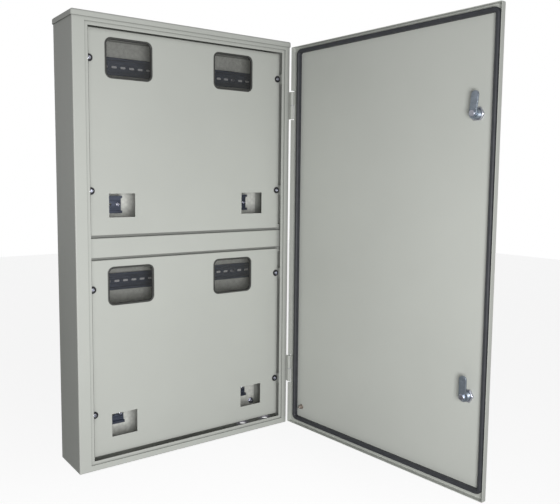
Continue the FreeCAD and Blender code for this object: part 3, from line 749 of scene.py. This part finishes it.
class METERBOX_OT_painted_sheet(Operator):
    """Paint every sheet-metal part and the hinges"""

    bl_idname = "meterbox.painted_sheet"
    bl_label = "Painted Sheet"

    def execute(self, context):
        """The same powder coat for all of them, with less painted shade in the creases of the door."""
        settings = context.scene.meter_box
        for name, depth, nodes in (
                ("body_powder_coat", settings.crease_shade_depth, BODY_SHEETS),
                ("door_powder_coat", settings.door_crease_shade_depth, DOOR_SHEETS)):
            coat = powder_coat(name, settings.paint, depth, settings.crease_shade_width)
            for node in nodes:
                paint_node(node, coat)
        return {"FINISHED"}


class METERBOX_OT_zinc_fittings(Operator):
    """Finish the plate, the rails and their fixings"""

    bl_idname = "meterbox.zinc_fittings"
    bl_label = "Plate, Rails and Fixings"

    def execute(self, context):
        """Bright zinc for fixings, dull zinc for the plate, blue-black for the rails."""
        settings = context.scene.meter_box
        bright = zinc("bright_zinc", settings.screw_zinc, roughness=0.3, grain=(1.0, 1.0, 6.0))
        for node in BRIGHT_ZINC:
            paint_node(node, bright)
        rails = [node_box("meter_rail_" + row) for row in ROWS]
        heights = [middle(*rail)[1] for rail in rails]
        low, high = rails[0]
        half_strip = (high[2] - low[2]) / 2 * 0.9
        paint_node("mounting_plate", plate_zinc("galvanised_plate", settings.plate, settings.strip_behind_rails,
                                                heights, half_strip))
        paint_node("panel_washers", rubber("black_plastic", settings.washer_plastic, roughness=0.4,
                                           pore_scale=900.0, pore_depth=0.00002))
        long_rail = dark_steel("passivated_rail", settings.rail, metallic=0.6)
        for row in ROWS:
            paint_node("meter_rail_" + row, long_rail)
        short_rail = dark_steel("blue_rail", settings.short_rail, metallic=0.75)
        for name in WINDOWS:
            paint_node("breaker_rail_" + name, short_rail)
        return {"FINISHED"}


class METERBOX_OT_windows(Operator):
    """Rubber frames and clear panes of the four meter windows"""

    bl_idname = "meterbox.windows"
    bl_label = "Windows"

    def execute(self, context):
        """Carry the rubber's section round each window, and glaze it."""
        settings = context.scene.meter_box
        black = rubber("window_rubber", settings.window_rubber, roughness=0.5, pore_scale=1400.0,
                       pore_depth=0.00004)
        glazing = clear_pane("window_glazing", settings.pane, settings.pane_alpha)
        for name in WINDOWS:
            panel_low = node_box(name.split("_")[0] + "_panel")[0]
            seal_low, seal_high = node_box("window_seal_" + name)
            pane_low, pane_high = node_box("window_pane_" + name)
            face = panel_low[1]
            web = pane_low[1] - face - SHEET
            lip = pane_low[0] - seal_low[0] - web
            section = window_rubber_section(
                lip, web, SHEET, web, pane_high[1] - pane_low[1], seal_high[1] - pane_high[1],
                settings.bead_height)
            shape = framed(seal_low, seal_high, WINDOW_CORNER, section[0], face + section[1])
            add_piece("window_frame_" + name, shape, black, "enclosure",
                      ["window_seal_" + name], sharp_deg=50.0)
            paint_node("window_pane_" + name, glazing)
        return {"FINISHED"}


class METERBOX_OT_door_seal(Operator):
    """Foam seal round the inside of the door"""

    bl_idname = "meterbox.door_seal"
    bl_label = "Door Seal"

    def execute(self, context):
        """Carry the seal's domed section round the door."""
        foam = rubber("door_seal_foam", context.scene.meter_box.door_foam, roughness=0.55,
                      pore_scale=900.0, pore_depth=0.00008)
        low, high = node_box("door_gasket", closed=True)
        inward, height = door_seal_section(SEAL_WIDTH, high[1] - low[1])
        shape = framed(low, high, SEAL_CORNER, inward, low[1] + height)
        add_piece("door_seal", shape, foam, "door", ["door_gasket"], sharp_deg=40.0,
                  closed=True)
        return {"FINISHED"}


class METERBOX_OT_grommets(Operator):
    """Soft rings in the floor's cable holes"""

    bl_idname = "meterbox.grommets"
    bl_label = "Cable Grommets"

    def execute(self, context):
        """A grooved section with quarter-circle lips, turned about each hole's axis."""
        settings = context.scene.meter_box
        soft = rubber("grommet_rubber", settings.grommet, roughness=0.6, pore_scale=1100.0,
                      pore_depth=0.00004)
        floor_low = node_box("body_shell")[0][2]
        bore = GROMMET_BORE / 2
        quarter = np.linspace(0.0, math.pi / 2, EDGE_POINTS)
        rings = []
        for low, high in solid_boxes("cable_grommets"):
            outer = (high[0] - low[0]) / 2
            groove = outer - GROMMET_GROOVE
            lip = (high[2] - low[2] - SHEET) / 2
            arc_out, arc_up = np.sin(quarter) * lip, (1 - np.cos(quarter)) * lip
            tip = outer - lip
            radius = np.concatenate([
                [bore, bore], bore + lip - lip * np.cos(quarter), [tip],
                tip + arc_out, [groove, groove], tip + arc_out[::-1], [tip],
                bore + lip - lip * np.cos(quarter[::-1])])
            height = np.concatenate([
                [low[2] + lip, high[2] - lip], high[2] - lip + lip * np.sin(quarter), [high[2]],
                high[2] - arc_up, [floor_low + SHEET, floor_low], low[2] + arc_up[::-1], [low[2]],
                low[2] + lip - lip * np.sin(quarter[::-1])])
            centre = ((low[0] + high[0]) / 2, (low[1] + high[1]) / 2)
            rings.append(turned(centre, radius, height, round_angles(settings.round_steps), axis="z"))
        add_piece("floor_grommets", merged(rings), soft, "enclosure",
                  ["cable_grommets"])
        return {"FINISHED"}


class METERBOX_OT_locks(Operator):
    """Quarter-turn locks: threaded barrels, hexagon nuts, tongues and their screws"""

    bl_idname = "meterbox.locks"
    bl_label = "Locks"

    def execute(self, context):
        """Build both locks with the door shut."""
        settings = context.scene.meter_box
        cast = cast_metal("lock_casting", settings.lock_metal)
        bright = bpy.data.materials["bright_zinc"]
        for row in ROWS:
            paint_node("lock_core_" + row, cast)
            add_piece("lock_barrel_" + row, self.barrel(row, settings), cast, "door",
                      ["lock_housing_" + row], closed=True)
            centre = middle(*node_box("lock_housing_" + row, closed=True))
            low, high = node_box("lock_nut_" + row, closed=True)
            flats = high[2] - low[2]
            add_piece("lock_hexagon_nut_" + row,
                      hex_nut(centre, low[1], high[1], flats, LOCK_BARREL, settings.round_steps), bright,
                      "door", ["lock_nut_" + row], closed=True)
            lean = lock_leans[row]
            low, high = reach(leaned(node_points("lock_cam_" + row, True), centre, lean))
            corners, polygons = stadium(centre, high[2] - low[2], high[0] - low[0], low[1], high[1],
                                        settings.tongue_edge)
            add_piece("lock_tongue_" + row, (leaned(corners, centre, -lean), polygons), cast,
                      row + "_lock", ["lock_cam_" + row], closed=True)
            seat = high[1]
            low, high = reach(leaned(node_points("cam_screw_" + row, True), centre, lean))
            corners, polygons = hex_head(centre, seat, high[1], high[2] - low[2], settings.round_steps)
            add_piece("tongue_screw_" + row, (leaned(corners, centre, -lean), polygons), bright,
                      row + "_lock", ["cam_screw_" + row], closed=True)
        return {"FINISHED"}

    @staticmethod
    def barrel(row, settings):
        """Head, threaded barrel and bore as one ring-shaped section turned about the axis.

        The head's front edge is a quarter circle, and the shank's radius is less by the thread's cut.
        """
        low, high = node_box("lock_housing_" + row, closed=True)
        skin = node_box("lock_nut_" + row, closed=True)[0][1] - SHEET
        angles = round_angles(settings.round_steps)
        head = (high[0] - low[0]) / 2
        radius = LOCK_BARREL / 2
        bore = LOCK_BORE / 2
        soft = (skin - low[1]) * 0.6
        pitch = settings.barrel_pitch
        shank = np.linspace(high[1], skin, int((high[1] - skin) / pitch * POINTS_PER_PITCH))
        cut = thread(shank, angles, pitch, pitch * BARREL_THREAD_DEPTH, skin, high[1])
        rim_points = 7
        quarter = np.linspace(0.0, math.pi / 2, rim_points)
        rim_along = low[1] + soft - soft * np.sin(quarter)
        rim_radius = head - soft + soft * np.cos(quarter)
        outline = np.concatenate([[head], rim_radius, [bore, bore]])
        outline_along = np.concatenate([[skin], rim_along, [low[1], high[1]]])
        fixed = np.broadcast_to(outline, (len(angles), len(outline)))
        grid_radius = np.concatenate([radius - cut, fixed], axis=1)
        return turned(middle(low, high), grid_radius, np.concatenate([shank, outline_along]), angles)


class METERBOX_OT_earth_point(Operator):
    """Earthing stud of the door with its washer and nut"""

    bl_idname = "meterbox.earth_point"
    bl_label = "Earthing Point"

    def execute(self, context):
        """Threaded stud, toothed washer and hexagon nut, all copper-plated."""
        settings = context.scene.meter_box
        copper = copper_plate("copper_plating", settings.copper)
        steps = settings.round_steps
        low, high = node_box("earth_stud", closed=True)
        centre = middle(low, high)
        diameter = high[0] - low[0]
        rod = threaded_rod(centre, low[1], high[1], diameter, settings.stud_pitch, steps)
        add_piece("earth_thread", rod, copper, "door", ["earth_stud"], closed=True)
        low, high = node_box("earth_washer", closed=True)
        add_piece("earth_tooth_washer", tooth_washer(centre, low[1], high[1], high[0] - low[0], diameter),
                  copper, "door", ["earth_washer"], closed=True)
        low, high = node_box("earth_nut", closed=True)
        add_piece("earth_hexagon_nut", hex_nut(centre, low[1], high[1], high[2] - low[2], diameter, steps),
                  copper, "door", ["earth_nut"], closed=True)
        return {"FINISHED"}


class METERBOX_OT_plate_fixings(Operator):
    """Threaded studs and hexagon nuts that hold the mounting plate"""

    bl_idname = "meterbox.plate_fixings"
    bl_label = "Plate Studs and Nuts"

    def execute(self, context):
        """Every stud from its own box, and its nut from the nut's."""
        settings = context.scene.meter_box
        bright = bpy.data.materials["bright_zinc"]
        steps = settings.round_steps
        studs = []
        for low, high in solid_boxes("plate_studs"):
            diameter = high[0] - low[0]
            studs.append(threaded_rod(middle(low, high), low[1], high[1], diameter, settings.stud_pitch,
                                      steps // 2))
        add_piece("plate_stud_threads", merged(studs), bright, "enclosure",
                  ["plate_studs"])
        nuts = []
        for low, high in solid_boxes("plate_nuts"):
            nuts.append(hex_nut(middle(low, high), low[1], high[1], high[2] - low[2], diameter, steps))
        add_piece("plate_hexagon_nuts", merged(nuts), bright, "enclosure",
                  ["plate_nuts"])
        return {"FINISHED"}


class METERBOX_OT_studio(Operator):
    """Floor, world, lamps and camera"""

    bl_idname = "meterbox.studio"
    bl_label = "Studio"

    def execute(self, context):
        """Set the stage round the box."""
        studio = context.scene.meter_box_studio
        self.floor(studio)
        self.world(context.scene, studio)
        self.lamps(studio)
        self.camera(context.scene, studio)
        context.scene.view_settings.view_transform = "Standard"
        return {"FINISHED"}

    @staticmethod
    def floor(studio):
        """A large flat sheet, white to the camera and matt to the light."""
        height = cad_bounds[0].z - studio.floor_drop
        half = FLOOR_HALF
        mesh = bpy.data.meshes.new("floor")
        mesh.from_pydata([(-half, -half, height), (half, -half, height), (half, half, height),
                          (-half, half, height)], [], [(0, 1, 2, 3)])
        finish = Finish("white_floor", FLOOR_GREY, roughness=0.9)
        rays = finish.add("ShaderNodeLightPath")
        finish.set(finish.shader, "Emission Color", WHITE)
        finish.set(finish.shader, "Emission Strength",
                   finish.math("MULTIPLY", rays.outputs["Is Camera Ray"], studio.floor_glow))
        mesh.materials.append(finish.material)
        sheet = bpy.data.objects.new("floor", mesh)
        bpy.context.scene.collection.objects.link(sheet)

    @staticmethod
    def world(scene, studio):
        """Soft light from all round, plain white to the camera and paler in mirrors than on matt faces."""
        world = bpy.data.worlds.new("white_surround")
        world.use_nodes = True
        tree = world.node_tree
        tree.nodes.clear()
        rays = tree.nodes.new("ShaderNodeLightPath")
        strength = None
        for name, level in (("Is Diffuse Ray", studio.ambient), ("Is Glossy Ray", studio.mirror_light),
                            ("Is Camera Ray", 1.0), ("Is Transmission Ray", 1.0)):
            share = tree.nodes.new("ShaderNodeMath")
            share.operation = "MULTIPLY_ADD"
            tree.links.new(rays.outputs[name], share.inputs[0])
            share.inputs[1].default_value = level
            share.inputs[2].default_value = 0.0
            if strength:
                tree.links.new(strength, share.inputs[2])
            strength = share.outputs[0]
        background = tree.nodes.new("ShaderNodeBackground")
        tree.links.new(strength, background.inputs["Strength"])
        output = tree.nodes.new("ShaderNodeOutputWorld")
        tree.links.new(background.outputs[0], output.inputs["Surface"])
        background.inputs["Color"].default_value = WHITE
        scene.world = world

    @staticmethod
    def lamps(studio):
        """One large square lamp in front, aimed at the middle of the box."""
        light = bpy.data.lights.new("key", "AREA")
        light.shape = "SQUARE"
        light.size = studio.key_size
        light.energy = studio.key_power
        lamp = bpy.data.objects.new("key", light)
        low, high = cad_bounds
        aim = (low + high) / 2
        aim.y = 0.0
        lamp.location = studio.key_place
        lamp.rotation_euler = (aim - lamp.location).to_track_quat("-Z", "Y").to_euler()
        bpy.context.scene.collection.objects.link(lamp)

    @staticmethod
    def camera(scene, studio):
        """The photograph's viewpoint."""
        data = bpy.data.cameras.new("viewpoint")
        data.sensor_width = SENSOR_WIDTH
        data.lens = studio.focal_px * SENSOR_WIDTH
        data.shift_x, data.shift_y = studio.shift
        data.clip_start = 0.05
        data.clip_end = 50.0
        camera = bpy.data.objects.new("viewpoint", data)
        camera.location = studio.camera_place
        camera.rotation_euler = studio.camera_turn
        scene.collection.objects.link(camera)
        scene.camera = camera


OPERATORS = (METERBOX_OT_painted_sheet, METERBOX_OT_zinc_fittings, METERBOX_OT_windows,
             METERBOX_OT_door_seal, METERBOX_OT_grommets, METERBOX_OT_locks, METERBOX_OT_earth_point,
             METERBOX_OT_plate_fixings, METERBOX_OT_studio)


class METERBOX_PT_dresser(Panel):
    """Sidebar panel with the box's settings and steps"""

    bl_label = "Meter Box"
    bl_idname = "METERBOX_PT_dresser"
    bl_space_type = "VIEW_3D"
    bl_region_type = "UI"
    bl_category = "Meter Box"

    def draw(self, context):
        """List the settings, then one button for each step."""
        for group in (context.scene.meter_box, context.scene.meter_box_studio):
            for name in group.__annotations__:
                self.layout.prop(group, name)
        for operator in OPERATORS:
            self.layout.operator(operator.bl_idname)


CLASSES = (MeterBoxSettings, StudioSettings, *OPERATORS, METERBOX_PT_dresser)


def register():
    """Make the classes and the scene's settings known to Blender."""
    for entry in CLASSES:
        bpy.utils.register_class(entry)
    bpy.types.Scene.meter_box = PointerProperty(type=MeterBoxSettings)
    bpy.types.Scene.meter_box_studio = PointerProperty(type=StudioSettings)


def unregister():
    """Take them out again."""
    del bpy.types.Scene.meter_box_studio
    del bpy.types.Scene.meter_box
    for entry in reversed(CLASSES):
        bpy.utils.unregister_class(entry)


def main():
    """Dress the box step by step."""
    register()
    for operator in OPERATORS:
        group, name = operator.bl_idname.split(".")
        getattr(getattr(bpy.ops, group), name)()


if __name__ == "__main__":
    main()
